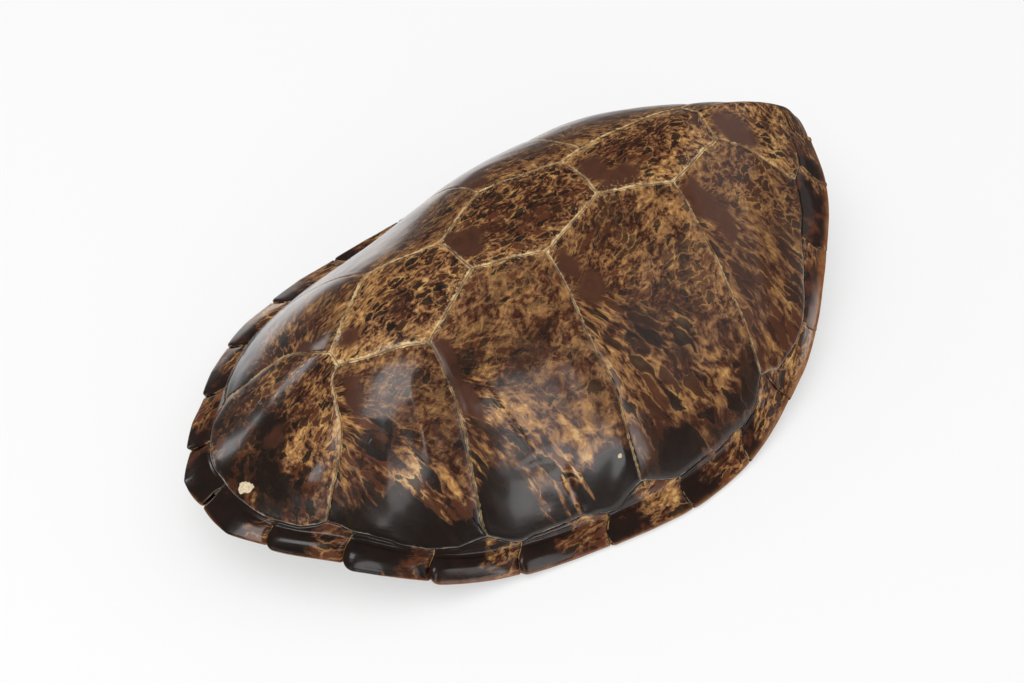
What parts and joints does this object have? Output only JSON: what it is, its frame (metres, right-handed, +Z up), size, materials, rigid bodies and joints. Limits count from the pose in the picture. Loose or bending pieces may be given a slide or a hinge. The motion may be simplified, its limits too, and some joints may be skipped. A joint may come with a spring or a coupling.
{
  "type": "sea turtle shell",
  "caption": "Domed sea turtle carapace of bone covered with glossy mottled keratin scutes, hollow underneath and resting on the sides of its rim.",
  "frame": {"origin": "centre of the bounding box at its base, on the surface that the shell rests on", "axes": "+X towards the head end, +Y towards the animal's left, +Z up out of the dome"},
  "size_m": [0.7, 0.4649, 0.1998],
  "materials": {
    "keratin": "polished horn, amber mottled with dark brown and black",
    "bone": "dry bone, cream, slightly porous"
  },
  "bodies": {
    "root": {"bony_carapace": "bone", "costal_scute_left_1": "keratin", "costal_scute_left_2": "keratin", "costal_scute_left_3": "keratin", "costal_scute_left_4": "keratin", "costal_scute_right_1": "keratin", "costal_scute_right_2": "keratin", "costal_scute_right_3": "keratin", "costal_scute_right_4": "keratin", "marginal_scute_left_1": "keratin", "marginal_scute_left_10": "keratin", "marginal_scute_left_11": "keratin", "marginal_scute_left_2": "keratin", "marginal_scute_left_3": "keratin", "marginal_scute_left_4": "keratin", "marginal_scute_left_5": "keratin", "marginal_scute_left_6": "keratin", "marginal_scute_left_7": "keratin", "marginal_scute_left_8": "keratin", "marginal_scute_left_9": "keratin", "marginal_scute_right_1": "keratin", "marginal_scute_right_10": "keratin", "marginal_scute_right_11": "keratin", "marginal_scute_right_2": "keratin", "marginal_scute_right_3": "keratin", "marginal_scute_right_4": "keratin", "marginal_scute_right_5": "keratin", "marginal_scute_right_6": "keratin", "marginal_scute_right_7": "keratin", "marginal_scute_right_8": "keratin", "marginal_scute_right_9": "keratin", "nuchal_scute": "keratin", "supracaudal_scute_left": "keratin", "supracaudal_scute_right": "keratin", "vertebral_scute_1": "keratin", "vertebral_scute_2": "keratin", "vertebral_scute_3": "keratin", "vertebral_scute_4": "keratin", "vertebral_scute_5": "keratin"}
  },
  "joints": []
}
